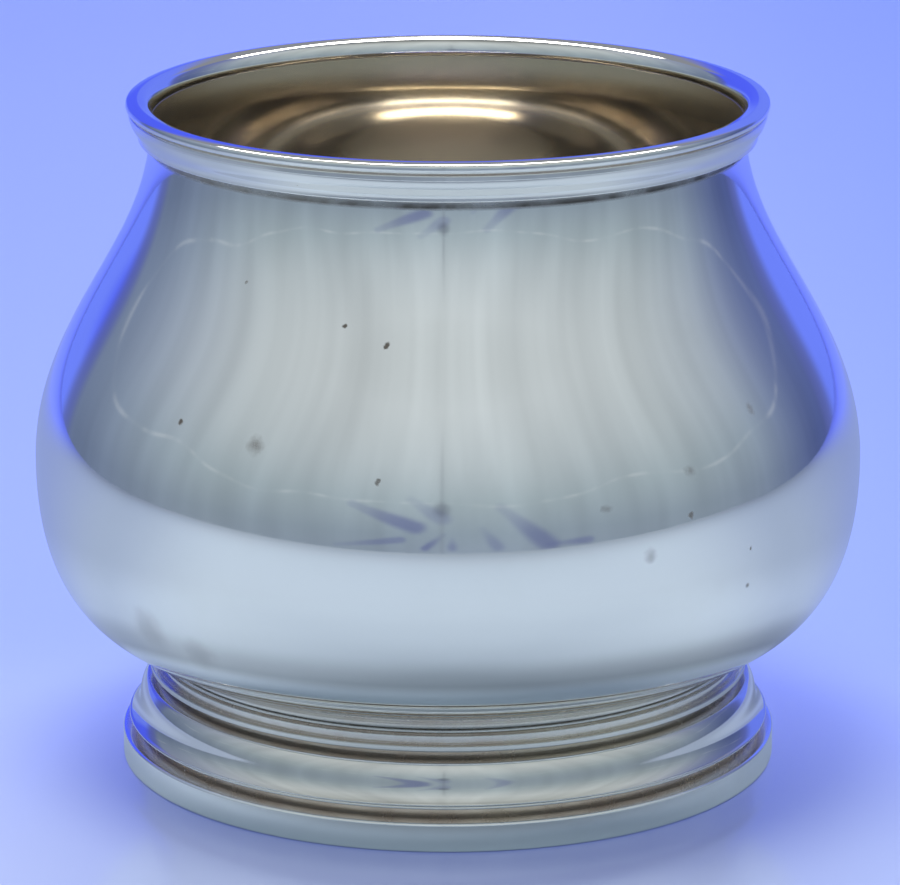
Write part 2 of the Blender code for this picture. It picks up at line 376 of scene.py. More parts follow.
@dataclass(frozen=True)
class SilverFinish:
    """Polished metal with the wear of years of rubbing and cleaning. Depths are in millimetres."""

    name: str
    colour: Colour = (0.93, 0.92, 0.89)
    haze_colour: Colour = (0.80, 0.79, 0.72)
    # On the body these two colours are near black and also paint the shade in the gap under the rim's skirt, on
    # top of the tarnish there.
    tarnish_and_seam_shade_colour: Colour = (0.60, 0.48, 0.39)
    solder_and_seam_shade_colour: Colour = (0.72, 0.63, 0.50)
    spot_colour: Colour = (0.20, 0.17, 0.14)
    metallic: float = 1.0
    grime: float = 0.35
    roughness: float = 0.045
    rubbed_share: float = 0.5
    haze_roughness: float = 0.10
    tarnish_roughness: float = 0.38
    haze: float = 0.30
    haze_clouds: Clouds = Clouds(34.0, 5.0, 0.62, (0.48, 0.78))
    patch_clouds: Clouds = Clouds(190.0, 4.0, 0.6, (0.30, 0.68))
    patch_least: float = 0.55
    solder_clouds: Clouds = Clouds(24.0, 1.0, 0.5, (0.52, 0.64))
    rub_clouds: Clouds = Clouds(95.0, 6.0, 0.7, (0.35, 0.75))
    pits: float = 1.0
    pit_cells: float = 105.0
    pit_span: Span = (0.035, 0.065)
    pit_chance: float = 0.07
    pit_depth: float = 0.05
    pit_strength: float = 0.5
    polish_stretch: tuple[float, float, float] = (9.0, 4200.0, 4200.0)
    polish_clouds: Clouds = Clouds(1.0, 3.0, 0.6)
    scratch_stretch: tuple[float, float, float] = (2600.0, 2600.0, 240.0)
    scratch_clouds: Clouds = Clouds(1.0, 2.0, 0.55)
    scratch_share: float = 0.6
    scratch_depth: float = 0.0006
    dent_clouds: Clouds = Clouds(46.0, 1.0)
    dent_depth: float = 0.02
    marks: tuple[Mark, ...] = ()
    mark_clouds: Clouds = Clouds(620.0)
    mark_stray: float = 1.4

    def material(self) -> bpy.types.Material:
        """Makes the finish as a node material.

        Returns:
            The material, which reads the mesh attribute "tarnish".
        """
        material = bpy.data.materials.new(self.name)
        material.use_nodes = True
        bench = NodeBench(material.node_tree)
        place = bench.add("TexCoord").outputs["Object"]
        around = self._around(bench, place)

        haze = bench.cloudy(place, self.haze_clouds, 0.0, self.haze)
        pits = self._pits(bench, place)
        seam = bench.add("Attribute", attribute_name="tarnish").outputs["Fac"]
        patchy = bench.cloudy(place, self.patch_clouds, self.patch_least, 1.0)
        tarnish = bench.calc(Calc.MULTIPLY, seam, patchy, clamp=True)
        # Tarnish in the hollows; on the body it is near black and also paints the shade of the gap under the
        # rim's skirt.
        tarnish_and_seam_shade = bench.lay(bench.cloudy(place, self.solder_clouds), self.tarnish_and_seam_shade_colour, self.solder_and_seam_shade_colour)
        colour = bench.lay(haze, self.colour, self.haze_colour)
        colour = bench.lay(tarnish, colour, tarnish_and_seam_shade)
        if self.marks:
            spots = self._spots(bench, place)
            colour = bench.lay(spots, colour, self.spot_colour)
            tarnish = bench.calc(Calc.MAXIMUM, tarnish, spots)
        colour = bench.lay(pits, colour, self.spot_colour, Blend.MULTIPLY)

        rubbed = self.roughness * (1.0 + self.rubbed_share)
        roughness = bench.cloudy(place, self.rub_clouds, self.roughness, rubbed)
        roughness = bench.plus(roughness, haze, self.haze_roughness)
        roughness = bench.plus(roughness, tarnish, self.tarnish_roughness)
        colour, roughness = self._stained_and_shaded(bench, place, around, colour, roughness)

        grimy = bench.times(tarnish, self.grime)
        shader = bench.add("BsdfPrincipled")
        bench.feed(shader.inputs["Metallic"], bench.calc(Calc.SUBTRACT, self.metallic, grimy, clamp=True))
        bench.feed(shader.inputs["Base Color"], colour)
        bench.feed(shader.inputs["Roughness"], roughness)
        bench.feed(shader.inputs["Normal"], self._relief(bench, place, around, pits))
        output = bench.add("OutputMaterial")
        bench.feed(output.inputs["Surface"], shader.outputs["BSDF"])
        return material

    def _stained_and_shaded(self, bench: NodeBench, place: Socket, around: Socket, colour: Socket,
              roughness: Socket) -> tuple[Socket, Socket]:
        """The colour and roughness with this finish's own stains and painted shade, of which plain silver has
        none.
        """
        return colour, roughness

    def _around(self, bench: NodeBench, place: Socket) -> Socket:
        """Turns a place into (angle round the axis, height, distance from the axis).

        Args:
            bench: The material's bench.
            place: The place's socket.

        Returns:
            The turned place's socket.
        """
        across, along, height = bench.parts(place)
        angle = bench.calc(Calc.ARC_TANGENT, across, along)
        return bench.joined(angle, height, bench.from_axis(place))

    def _spots(self, bench: NodeBench, place: Socket) -> Socket:
        """The finish's single marks.

        Args:
            bench: The material's bench.
            place: The place's socket.

        Returns:
            How dark a mark is, from 0 to 1.
        """
        stray = bench.clouds(place, self.mark_clouds, "Color")
        stray = bench.vector(VectorCalc.SCALE, stray, self.mark_stray * MM)
        moved = bench.vector(VectorCalc.ADD, place, stray)
        usual = Vector((1.0, 1.0, 1.0)) * self.mark_stray / 2
        spots: Value = 0.0
        for mark in self.marks:
            away = bench.vector(VectorCalc.DISTANCE, moved, (Vector(mark.place) + usual) * MM)
            span = metres((mark.size * mark.kind.value, mark.size))
            spots = bench.calc(Calc.MAXIMUM, spots, bench.spread(away, span, mark.strength, 0.0))
        return spots

    def _pits(self, bench: NodeBench, place: Socket) -> Socket:
        """Tiny scattered dark pits.

        Args:
            bench: The material's bench.
            place: The place's socket.

        Returns:
            The pits' socket, 1 in a pit.
        """
        cells = bench.add("TexVoronoi", feature="F1")
        bench.feed(cells.inputs["Vector"], place)
        cells.inputs["Scale"].default_value = self.pit_cells
        cells.inputs["Randomness"].default_value = 1.0
        dot = bench.spread(cells.outputs["Distance"], self.pit_span, 1.0, 0.0)
        chance = bench.add("SeparateColor")
        bench.feed(chance.inputs[0], cells.outputs["Color"])
        chosen = bench.calc(Calc.GREATER, chance.outputs[0], 1.0 - self.pit_chance * self.pits)
        return bench.times(dot, chosen)

    def _relief(self, bench: NodeBench, place: Socket, around: Socket, pits: Socket) -> Socket:
        """Fine scratches that run round the piece, slight dents, and the pits.

        Args:
            bench: The material's bench.
            place: The place's socket.
            around: The place as angle, height and distance.
            pits: The pits' socket.

        Returns:
            The normal's socket.
        """
        polish = bench.clouds(bench.stretched(around, Vector(self.polish_stretch)), self.polish_clouds)
        rubs = bench.clouds(bench.stretched(place, Vector(self.scratch_stretch)), self.scratch_clouds)
        fine = bench.plus(polish, rubs, self.scratch_share)
        normal = bench.bump(fine, self.scratch_depth * MM)
        normal = bench.bump(bench.clouds(place, self.dent_clouds), self.dent_depth * MM, normal=normal)
        return bench.bump(pits, self.pit_depth * MM, self.pit_strength, normal, sinks=True)


@dataclass(frozen=True)
class GiltFinish(SilverFinish):
    """The warm, worn gilding inside the body, with its stains, painted shade on its left and right sides, and
    scoured places. Sizes are in millimetres.
    """

    colour: Colour = (0.745, 0.685, 0.585)
    haze_colour: Colour = (0.64, 0.58, 0.48)
    metallic: float = 0.93
    roughness: float = 0.10
    haze: float = 0.15
    pits: float = 0.15
    stain_share: float = 0.8
    stain_rise: Span = (79.5, 82.5)
    stain_colour: Colour = (0.50, 0.41, 0.27)
    stain_roughness: float = 0.12
    well_span: Span = (18.0, 28.0)
    well_roughness: float = 0.30
    scour_radius: float = 44.5
    scour_span: Span = (0.9, 4.5)
    scour_roughness: float = 0.20
    # Painted shade: the inside darkens towards its left and right sides.
    flank_shade_share: float = 0.85
    flank_shade_colour: Colour = (0.17, 0.14, 0.11)
    flank_shade_span: Span = (35.0, 48.0)
    flank_rise: Span = (23.0, 28.0)

    def _stained_and_shaded(self, bench: NodeBench, place: Socket, around: Socket, colour: Socket,
              roughness: Socket) -> tuple[Socket, Socket]:
        """Stains the neck, paints shade on the left and right flanks, and scours the well and a ring round it.

        Args:
            bench: The material's bench.
            place: The place's socket.
            around: The place as angle, height and distance.
            colour: The colour so far.
            roughness: The roughness so far.

        Returns:
            The stained and shaded colour, and the roughness.
        """
        across, _, height = bench.parts(place)
        _, _, from_axis = bench.parts(around)
        neck = bench.spread(height, metres(self.stain_rise))
        colour = bench.lay(bench.times(neck, self.stain_share), colour, self.stain_colour)
        roughness = bench.plus(roughness, neck, self.stain_roughness)
        well = bench.spread(from_axis, metres(self.well_span), self.well_roughness, 0.0)
        roughness = bench.calc(Calc.ADD, roughness, well)

        from_ring = bench.apart(from_axis, self.scour_radius * MM)
        scour = bench.spread(from_ring, metres(self.scour_span), self.scour_roughness, 0.0)
        raised = bench.spread(height, metres(self.flank_rise))
        roughness = bench.plus(roughness, scour, bench.calc(Calc.SUBTRACT, 1.0, raised))
        # Painted shade: darker towards the left and right sides of the inside, above the well's corner.
        sideways = bench.calc(Calc.ABSOLUTE, across)
        flank_shade = bench.spread(sideways, metres(self.flank_shade_span), 0.0, self.flank_shade_share)
        return bench.lay(bench.times(flank_shade, raised), colour, self.flank_shade_colour), roughness


@dataclass(frozen=True)
class Stop:
    """One point of a turned outline, with the rounding of its corner and the tarnish that sits there; under the
    body's rim that tarnish also paints the shade of the gap.
    """

    radius: float
    height: float
    corner: float = 0.0
    tarnish: float = 0.0


class Outline:
    """The outline that a piece is turned from, in metres."""

    CORNER_STEPS = 4
    CORNER_SHARE = 0.42
    HOLD = 0.125
    SAME = 1e-7

    def __init__(self, is_ring: bool) -> None:
        """Starts with no stops.

        Args:
            is_ring: Whether the outline closes on itself, as a ring's does, or ends on the axis.
        """
        self.is_ring = is_ring
        self.stops: list[Stop] = []

    def to(self, radius: float, height: float, corner: float = 0.0, tarnish: float = 0.0) -> None:
        """Adds one stop, with its sizes in millimetres, unless it lies on the last one.

        Args:
            radius: Distance from the axis.
            height: Height above the table.
            corner: How far the corner is rounded back.
            tarnish: How much tarnish sits there, from 0 to 1.
        """
        stop = Stop(radius * MM, height * MM, corner * MM, tarnish)
        last = self.stops[-1] if self.stops else None
        if last is None or math.dist((last.radius, last.height), (stop.radius, stop.height)) > self.SAME:
            self.stops.append(stop)

    def curve(self, knots: Sequence[Point], steps: int) -> None:
        """Adds a cubic curve, with both of its ends.

        Args:
            knots: Start, two handles and end, in millimetres.
            steps: Number of stretches.
        """
        flat = [Vector((radius, height, 0.0)) for radius, height in knots]
        for point in interpolate_bezier(*flat, steps + 1):
            self.to(point.x, point.y)

    def arc(self, centre: Point, across: float, up: float, start: float, end: float, steps: int) -> None:
        """Adds an elliptical arc, with both of its ends.

        Args:
            centre: Its centre, in millimetres.
            across: Its half width.
            up: Its half height.
            start: The angle that it starts at, in degrees.
            end: The angle that it ends at.
            steps: Number of stretches.
        """
        for step in range(steps + 1):
            angle = math.radians(start + (end - start) * step / steps)
            self.to(centre[0] + across * math.cos(angle), centre[1] + up * math.sin(angle))

    def rounded(self) -> list[Stop]:
        """Rounds the corners that ask for it.

        Returns:
            All stops, with two holding stops beside each rounded corner.
        """
        done: list[Stop] = []
        count = len(self.stops)
        for index, stop in enumerate(self.stops):
            if stop.corner <= 0.0:
                done.append(stop)
                continue
            before = self.stops[(index - 1) % count]
            after = self.stops[(index + 1) % count]
            here = Vector((stop.radius, stop.height))
            back = Vector((before.radius, before.height)) - here
            ahead = Vector((after.radius, after.height)) - here
            cut = min(stop.corner, self.CORNER_SHARE * back.length, self.CORNER_SHARE * ahead.length)
            start = here + back.normalized() * cut
            end = here + ahead.normalized() * cut
            hold = self.HOLD * cut
            done.append(self._at(start + back.normalized() * hold, stop))
            for step in range(self.CORNER_STEPS + 1):
                share = step / self.CORNER_STEPS
                near = start.lerp(here, share)
                far = here.lerp(end, share)
                done.append(self._at(near.lerp(far, share), stop))
            done.append(self._at(end + ahead.normalized() * hold, stop))
        return done

    @staticmethod
    def _at(point: Vector, like: Stop) -> Stop:
        """A stop at a point, with another stop's tarnish."""
        return Stop(point.x, point.y, 0.0, like.tarnish)


class Lathe:
    """Turns outlines into closed meshes."""

    AROUND = 192
    WAVES = 42.0
    LEAST_RADIUS = 0.02

    def turn(self, name: str, outline: Outline, wobble: float = 0.0) -> bpy.types.Object:
        """Turns one outline about the Z axis.

        Args:
            name: The new piece's name.
            outline: What to turn.
            wobble: How far a hand-worked surface strays inwards from true, in metres.

        Returns:
            The new object, with the attribute "tarnish" on its points.
        """
        points: list[Vector] = []
        tarnish: list[float] = []
        rings: list[list[int]] = []
        for stop in outline.rounded():
            ring = []
            count = self.AROUND if stop.radius > 0.0 else 1
            for step in range(count):
                angle = math.tau * step / self.AROUND
                point = Vector((stop.radius * math.cos(angle), stop.radius * math.sin(angle), stop.height))
                if wobble:
                    stray = wobble * (1.0 + noise.noise(point * self.WAVES)) / 2
                    point *= 1.0 - stray / max(stop.radius, self.LEAST_RADIUS)
                ring.append(len(points))
                points.append(point)
                tarnish.append(stop.tarnish)
            rings.append(ring)
        pairs = list(zip(rings, rings[1:]))
        if outline.is_ring:
            pairs.append((rings[-1], rings[0]))
        faces = [face for upper, lower in pairs for face in self._band(upper, lower)]
        mesh = bpy.data.meshes.new(name)
        mesh.from_pydata([tuple(point) for point in points], [], faces)
        mesh.attributes.new("tarnish", "FLOAT", "POINT").data.foreach_set("value", tarnish)
        mesh.shade_smooth()
        mesh.validate()
        piece = bpy.data.objects.new(name, mesh)
        bpy.context.scene.collection.objects.link(piece)
        return piece

    def _band(self, upper: list[int], lower: list[int]) -> list[list[int]]:
        """The faces between two rings of points, one of which may be a single point on the axis.

        Args:
            upper: The ring that comes first in the outline.
            lower: The next ring.

        Returns:
            Faces as lists of point numbers.
        """
        faces = []
        for step in range(self.AROUND):
            after = (step + 1) % self.AROUND
            if len(upper) == 1:
                faces.append([upper[0], lower[step], lower[after]])
            elif len(lower) == 1:
                faces.append([upper[step], lower[0], upper[after]])
            else:
                faces.append([upper[step], lower[step], lower[after], upper[after]])
        return faces


@dataclass
class TurnedPiece:
    """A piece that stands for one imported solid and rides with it. Sizes are in millimetres."""

    node: str
    name: str
    slot: str
    finish: SilverFinish
    wobble: float = 0.0

    def outline(self) -> Outline:
        """The piece's outline."""
        raise NotImplementedError

    def floor(self) -> float:
        """Height of the solid's lowest point."""
        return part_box(self.node)[0].z / MM

    def build(self, lathe: Lathe) -> bpy.types.Object:
        """Makes the piece, dresses it and ties it to the frame.

        Args:
            lathe: What turns it.

        Returns:
            The new piece.
        """
        piece = lathe.turn(self.name, self.outline(), self.wobble * MM)
        self.dress(piece)
        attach(piece, BODY)
        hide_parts(self.node)
        return piece

    def dress(self, piece: bpy.types.Object) -> None:
        """Gives the piece its finish."""
        piece.data.materials.append(self.finish.material())


@dataclass
class BowlBody(TurnedPiece):
    """The spun body: silver outside and gilt inside. Sizes are in millimetres."""

    inside_finish: Optional[SilverFinish] = None
    wall: float = 1.0
    belly_radius: float = 54.0
    belly_height: float = 25.2
    neck_radius: float = 38.5
    shoulder_height: float = 44.0
    neck_height: float = 1.1
    bottom_radius: float = 31.0
    upper_belly_fullness: float = 18.2
    neck_fullness: float = 15.9
    lower_belly_fullness: float = 18.7
    bottom_fullness: float = 14.4
    edge_round: float = 0.06
    rim_overlap: float = 0.3
    edge_taper: float = 4.0
    # The dark band round the body under the rim's skirt: tarnish, and painted shade of the gap there.
    rim_seam: float = 3.5
    foot_seam: float = 38.1
    seam_fade: float = 0.55
    seam_strength: float = 1.6
    steps: int = 110
    bottom_steps: int = 6
    floor_share: float = 1.2
    least_facing: float = 0.05
    most_outward: float = 0.7

    def outside(self) -> list[Point]:
        """Traces the outer surface.

        Returns:
            Distances from the axis and heights above the flat bottom, from the top edge down.
        """
        neck = self.belly_height + self.shoulder_height
        shoulder = (
            (self.neck_radius, neck),
            (self.neck_radius, neck - self.neck_fullness),
            (self.belly_radius, self.belly_height + self.upper_belly_fullness),
            (self.belly_radius, self.belly_height),
        )
        under = (
            (self.belly_radius, self.belly_height),
            (self.belly_radius, self.belly_height - self.lower_belly_fullness),
            (self.bottom_radius + self.bottom_fullness, 0.0),
            (self.bottom_radius, 0.0),
        )
        points = [(self.neck_radius, neck + self.neck_height)]
        for index, knots in enumerate((shoulder, under)):
            flat = [Vector((radius, height, 0.0)) for radius, height in knots]
            points += [(point.x, point.y) for point in interpolate_bezier(*flat, self.steps + 1)[index:]]
        return points

    def inside(self) -> list[Point]:
        """Traces the inner surface: the wall thins towards the top edge.

        Returns:
            Distances from the axis and heights above the flat bottom, from the floor up.
        """
        outer = self.outside()
        last = len(outer) - 1
        top = outer[0][1]
        moved = []
        for index, point in enumerate(outer):
            before = outer[max(index - 1, 0)]
            after = outer[min(index + 1, last)]
            along = Vector((after[0] - before[0], after[1] - before[1])).normalized()
            share = min((top - point[1]) / self.edge_taper, 1.0)
            wall = self.rim_overlap + (self.wall - self.rim_overlap) * share
            moved.append((point[0] + along.y * wall, point[1] - along.x * wall))
        return moved[::-1]

    def outline(self) -> Outline:
        """Runs from the axis up the inside, over the edge, and down the outside to the axis.

        Returns:
            The body's outline.
        """
        base = self.floor()
        inside, outside = self.inside(), self.outside()
        top = outside[0][1]
        outline = Outline(is_ring=False)
        for step in range(self.bottom_steps):
            outline.to(inside[0][0] * step / self.bottom_steps, base + self.wall)
        for radius, height in inside:
            outline.to(radius, base + height, corner=self.edge_round if height == top else 0.0)
        for radius, height in outside:
            # Both bands take the body's near-black tarnish colours. Under the rim's skirt they paint the shade
            # of the gap as well as tarnish, and at the foot seam they are tarnish.
            from_rim = abs(height - (top - self.rim_seam)) / self.seam_fade
            seam = min(1.0, max(0.0, self.seam_strength * (1.0 - from_rim)))
            if height < self.belly_height:
                seam = max(seam, 1.0 - abs(radius - self.foot_seam) / self.seam_fade)
            outline.to(radius, base + height, self.edge_round if height == top else 0.0, seam)
        for step in range(self.bottom_steps - 1, -1, -1):
            outline.to(self.bottom_radius * step / self.bottom_steps, base)
        return outline

    def dress(self, piece: bpy.types.Object) -> None:
        """Gives the outside its silver and the inside its gilt finish.

        Args:
            piece: The turned body.
        """
        piece.data.materials.append(self.finish.material())
        piece.data.materials.append(self.inside_finish.material())
        low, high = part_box(self.node)
        floor_line = low.z + self.floor_share * self.wall * MM
        edge_line = high.z - self.edge_round * MM
        for face in piece.data.polygons:
            outward = Vector((face.center.x, face.center.y, 0.0)).normalized().dot(face.normal)
            is_level = face.center.z < floor_line or face.center.z > edge_line
            looks_up = is_level and face.normal.z > self.least_facing and outward < self.most_outward
            face.material_index = int(outward < -self.least_facing or looks_up)


@dataclass
class RimMoulding(TurnedPiece):
    """The applied rim wire: a lip that rolls out of its bore, a crease and an ovolo.

    Sizes are in millimetres. The roll's points lie outwards from the mouth and down from the lip's crest,
    and the lip's points lie outwards and down from the crest's inner end.
    """

    neck_radius: float = 38.5
    gap: float = 0.3
    lip_projection: float = 3.05
    lip_width: float = 2.45
    lip_half_height: float = 0.8
    lip_rise: float = 2.45
    undercut_deg: float = 45.0
    undercut_from_deg: float = 2.0
    crease_depth: float = 0.3
    crease_drop: float = 0.15
    fillet_height: float = 0.6
    fillet_step: float = 0.15
    ovolo_start: float = 0.12
    skirt: float = 3.0
    skirt_projection: float = 1.5
    skirt_edge: float = 0.45
    skirt_tuck: float = 0.3
    bore_growth: float = 0.15
    overlap: float = 0.3
    mouth_gap: float = 0.03
    mouth_edge: float = 0.1
    mouth_upright: float = 1.1
    roll_in: Point = (0.35, 0.62)
    roll: Point = (0.68, 0.40)
    roll_out: Point = (0.82, 0.31)
    roll_top: Point = (1.25, 0.17)
    crest_in: float = 1.85
    lip_flat: float = 0.20
    lip_slope: Point = (0.70, 0.06)
    lip_corner: Point = (1.25, 0.24)
    lip_turn: Point = (1.37, 0.28)
    lip_side: float = 0.42

    def outline(self) -> Outline:
        """Runs from the mouth over the lip, down to the skirt and back up the bore.

        Returns:
            The closed outline.
        """
        edge = self.floor() + self.skirt
        mouth = self.neck_radius - self.overlap
        bore = self.neck_radius + self.gap + self.bore_growth
        under = edge + self.mouth_gap
        outline = Outline(is_ring=True)
        outline.to(mouth, under, corner=0.05, tarnish=0.3)
        self._lip(outline, mouth, edge)
        self._skirt(outline, edge)
        outline.to(bore, edge - self.skirt, corner=0.05, tarnish=1.0)
        outline.to(bore, under, tarnish=1.0)
        return outline

    def _lip_centre(self, edge: float) -> Point:
        """Centre of the lip's rounded side."""
        radius = self.neck_radius + self.lip_projection - self.lip_width / 2
        return radius, edge + self.lip_rise - self.lip_half_height

    def _lip(self, outline: Outline, mouth: float, edge: float) -> None:
        """Adds the roll out of the mouth, the lip's top and its rounded side.

        Args:
            outline: The outline so far.
            mouth: Radius of the mouth.
            edge: Height of the body's edge.
        """
        crest = edge + self.lip_rise
        under = edge + self.mouth_gap
        half = self.lip_width / 2
        centre = self._lip_centre(edge)
        top = (mouth + self.crest_in, crest)
        widest = (centre[0] + half, centre[1])
        roll_in, roll, roll_out, roll_top = [
            (mouth + outward, crest - drop)
            for outward, drop in (self.roll_in, self.roll, self.roll_out, self.roll_top)
        ]
        slope, corner, turned = [
            (top[0] + outward, crest - drop)
            for outward, drop in (self.lip_slope, self.lip_corner, self.lip_turn)
        ]
        upright = (mouth, under + self.mouth_upright)
        outline.curve(((mouth, under + self.mouth_edge), upright, roll_in, roll), steps=16)
        outline.curve((roll, roll_out, roll_top, top), steps=24)
        outline.curve((top, (top[0] + self.lip_flat, crest), slope, corner), steps=24)
        outline.curve((corner, turned, (widest[0], crest - self.lip_side), widest), steps=18)
        outline.arc(centre, half, self.lip_half_height, -self.undercut_from_deg, -self.undercut_deg, steps=12)

    def _skirt(self, outline: Outline, edge: float) -> None:
        """Adds the crease under the lip, the fillet, the ovolo and the skirt's edge.

        Args:
            outline: The outline so far.
            edge: Height of the body's edge.
        """
        centre = self._lip_centre(edge)
        turn = math.radians(self.undercut_deg)
        lip_end = centre[0] + self.lip_width / 2 * math.cos(turn)
        crease = centre[1] - self.lip_half_height * math.sin(turn) - self.crease_drop
        fillet_top = crease - self.crease_drop
        fillet_bottom = fillet_top - self.fillet_height
        ovolo = lip_end - self.fillet_step
        skirt = (
            self.neck_radius + self.skirt_projection,
            edge + self.skirt_edge + self.skirt_tuck - self.skirt,
        )
        drop = (fillet_bottom - skirt[1]) / 2
        outline.to(lip_end - self.crease_depth, crease, corner=0.06, tarnish=0.55)
        outline.to(lip_end, fillet_top, corner=0.08, tarnish=0.1)
        outline.to(lip_end, fillet_bottom, corner=0.1)
        outline.to(ovolo, fillet_bottom, corner=0.05, tarnish=0.15)
        start = (ovolo, fillet_bottom - self.ovolo_start)
        outline.curve((start, (ovolo, fillet_bottom - drop), (skirt[0], skirt[1] + drop / 2), skirt), steps=18)
        outline.to(skirt[0], skirt[1] - self.skirt_edge, corner=0.12, tarnish=0.1)


@dataclass
class FootCollar(TurnedPiece):
    """The foot's upper ring: plain wall, square fillet, flat band, bead and neck. Sizes are in millimetres."""

    radius: float = 38.4
    thickness: float = 2.4
    wall_height: float = 1.1
    fillet_height: float = 0.67
    fillet_projection: float = 1.05
    band_height: float = 1.1
    band_projection: float = 0.15
    groove_width: float = 0.3
    groove_depth: float = 0.35
    bead_height: float = 0.55
    bead_projection: float = 0.2
    neck_height: float = 0.65
    seat_fall: float = 0.27
    solder: float = 0.3

    def outline(self) -> Outline:
        """Runs from the seat down the outside and back up the bore, with solder above and below.

        Returns:
            The closed outline.
        """
        base = self.floor()
        bottom = base - self.solder
        groove = self.radius - self.groove_depth
        inner = self.radius - self.thickness
        fillet = self.radius + self.fillet_projection
        band = self.radius + self.band_projection
        wall_top = base + self.wall_height
        fillet_top = wall_top + self.fillet_height
        band_top = fillet_top + self.band_height
        bead = band_top + self.groove_width + self.bead_height / 2
        reach = self.groove_depth + self.bead_projection
        top = bead + self.bead_height / 2 + self.groove_width + self.neck_height + self.solder
        outline = Outline(is_ring=True)
        outline.to(inner, top - self.seat_fall)
        outline.to(groove, top, corner=0.08, tarnish=0.9)
        outline.arc((groove, bead), reach, self.bead_height / 2, 90.0, -90.0, steps=16)
        outline.to(groove, band_top, corner=0.06, tarnish=0.8)
        outline.to(band, band_top, corner=0.1, tarnish=0.1)
        outline.to(band, fillet_top, corner=0.08, tarnish=0.7)
        outline.to(fillet, fillet_top, corner=0.12)
        outline.to(fillet, wall_top, corner=0.12)
        outline.to(self.radius, wall_top, corner=0.1, tarnish=0.5)
        outline.to(self.radius, bottom, tarnish=0.6)
        outline.to(inner, bottom)
        return outline


@dataclass
class FootOgee(TurnedPiece):
    """The foot's spun ogee, hollow below. Sizes are in millimetres."""

    collar_radius: float = 38.4
    collar_thickness: float = 2.4
    collar_clearance: float = 0.1
    wall: float = 1.2
    height: float = 6.6
    top_ledge: float = 1.5
    ledge_bevel: float = 0.2
    top_out: float = 1.35
    top_drop: float = 1.9
    hollow_in: float = 1.75
    hollow_rise: float = 1.75
    necking_radius: float = 41.0
    flange_overhang: float = 1.05
    flange_thickness: float = 0.4
    flange_nose: float = 0.2
    flange_from_deg: float = 70.0
    necking_height: float = 1.25
    solder: float = 0.3

    def outline(self) -> Outline:
        """Runs from the ledge down the S-shaped wall and back up inside, with solder below.

        Returns:
            The closed outline.
        """
        base = self.floor()
        bottom = base - self.solder
        top = self.collar_radius + self.top_ledge
        inner = self.collar_radius - self.collar_thickness
        necking_top = base + self.necking_height
        flange = (self.necking_radius + self.flange_overhang, necking_top + self.flange_thickness)
        middle = necking_top + self.flange_thickness / 2
        crown = base + self.height
        start = (top, crown - self.ledge_bevel)
        out = (top + self.top_out, start[1] - self.top_drop)
        hollow = (flange[0] - self.hollow_in, flange[1] + self.hollow_rise)
        outline = Outline(is_ring=True)
        outline.to(self.collar_radius + self.collar_clearance, crown, tarnish=0.6)
        outline.to(top - self.ledge_bevel, crown, corner=0.12, tarnish=0.25)
        outline.curve((start, out, hollow, flange), steps=36)
        nose = (self.flange_nose, self.flange_thickness / 2)
        outline.arc((flange[0], middle), *nose, self.flange_from_deg, -90.0, steps=14)
        outline.to(self.necking_radius, necking_top, corner=0.08, tarnish=0.55)
        outline.to(self.necking_radius, bottom, tarnish=0.65)
        outline.to(self.necking_radius - self.wall, bottom)
        outline.to(self.necking_radius - self.wall, necking_top, corner=0.1)
        outline.to(flange[0] - self.wall, flange[1], corner=0.3)
        outline.to(top - self.wall, crown - self.wall, corner=0.3)
        outline.to(inner, crown - self.wall, corner=0.06)
        outline.to(inner, crown, corner=0.06)
        return outline


@dataclass
class BaseRim(TurnedPiece):
    """The drawn wire that stands on the table. Sizes are in millimetres."""

    radius: float = 43.1
    height: float = 3.8
    width: float = 3.5
    ledge: float = 2.1
    edge_round: float = 0.35
    inner_round: float = 0.15

    def outline(self) -> Outline:
        """Runs round the wire, with both outer edges rounded.

        Returns:
            The closed outline.
        """
        inner = self.radius - self.width
        turn = self.edge_round
        centre = self.radius - turn
        outline = Outline(is_ring=True)
        outline.to(inner, self.height, corner=self.inner_round)
        outline.to(self.radius - self.ledge, self.height, tarnish=0.65)
        outline.to(centre - turn, self.height, tarnish=0.35)
        outline.arc((centre, self.height - turn), turn, turn, 90.0, 0.0, steps=12)
        outline.arc((centre, turn), turn, turn, 0.0, -90.0, steps=12)
        outline.to(inner, 0.0, corner=self.inner_round)
        return outline


@dataclass
class CameraStand:
    """The camera, standing where the photograph was taken from. Lengths are in metres."""

    focal_px: float = 5339.25
    image_width: int = 900
    sensor_mm: float = 36.0
    place: tuple[float, float, float] = (0.00027, -0.67557, 0.22769)
    pitch_deg: float = 15.403

    def build(self) -> None:
        """Adds the camera and makes it the scene's own."""
        data = bpy.data.cameras.new("camera")
        data.sensor_width = self.sensor_mm
        data.lens = self.focal_px * self.sensor_mm / self.image_width
        camera = bpy.data.objects.new("camera", data)
        camera.location = self.place
        camera.rotation_euler = (math.radians(90.0 - self.pitch_deg), 0.0, 0.0)
        bpy.context.scene.collection.objects.link(camera)
        bpy.context.scene.camera = camera


@dataclass(frozen=True)
class Ring:
    """A ring of floor round the bowl across which painted light and shade scale the floor's mirrored colour.
    Radii are in metres.
    """

    radii: Span
    inside: float
    outside: float


